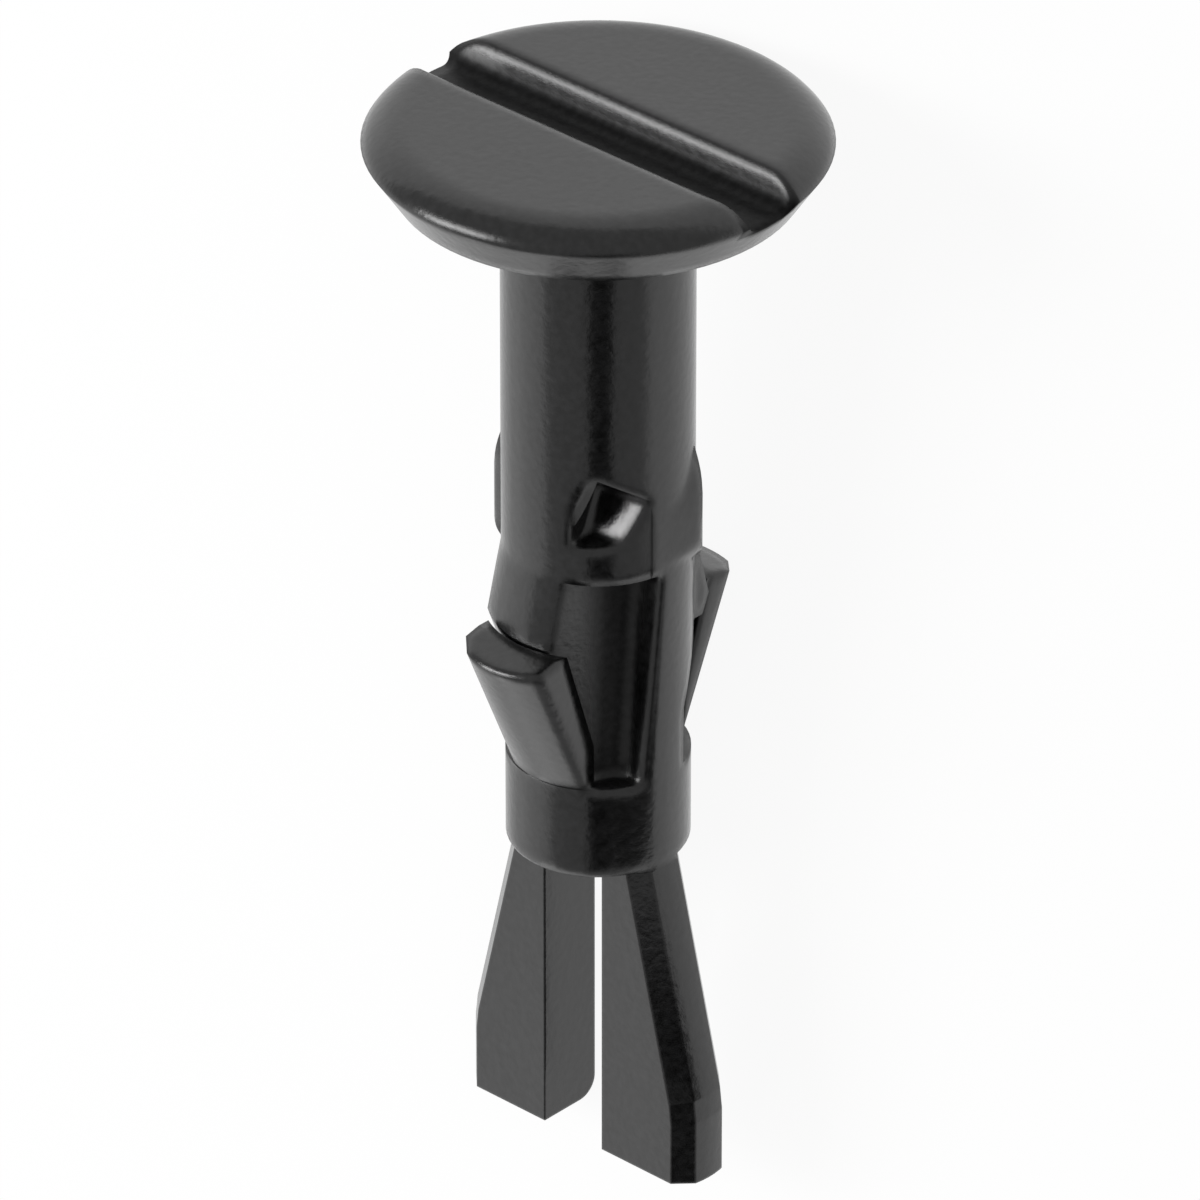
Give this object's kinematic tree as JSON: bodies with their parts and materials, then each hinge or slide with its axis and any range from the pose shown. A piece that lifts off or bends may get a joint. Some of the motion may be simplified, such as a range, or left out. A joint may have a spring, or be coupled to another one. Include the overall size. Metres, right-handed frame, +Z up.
{
  "type": "bumper cover pin",
  "caption": "Black nylon quarter-turn pin with a slotted round head, a shank with spring barbs and turn lugs, and a flared forked foot, for fixing a bumper cover to its carrier",
  "frame": {"origin": "middle of the floor area under the pin as it lies at rest", "axes": "+X runs along the floor from the forked foot to the head, +Z is up, +Y completes the right-handed set; the pin's own axis rises 8.0 degrees from the foot to the head"},
  "size_m": [0.0492, 0.0192, 0.019],
  "materials": {
    "nylon": "satin"
  },
  "bodies": {
    "root": {"pin": "nylon"}
  },
  "joints": []
}
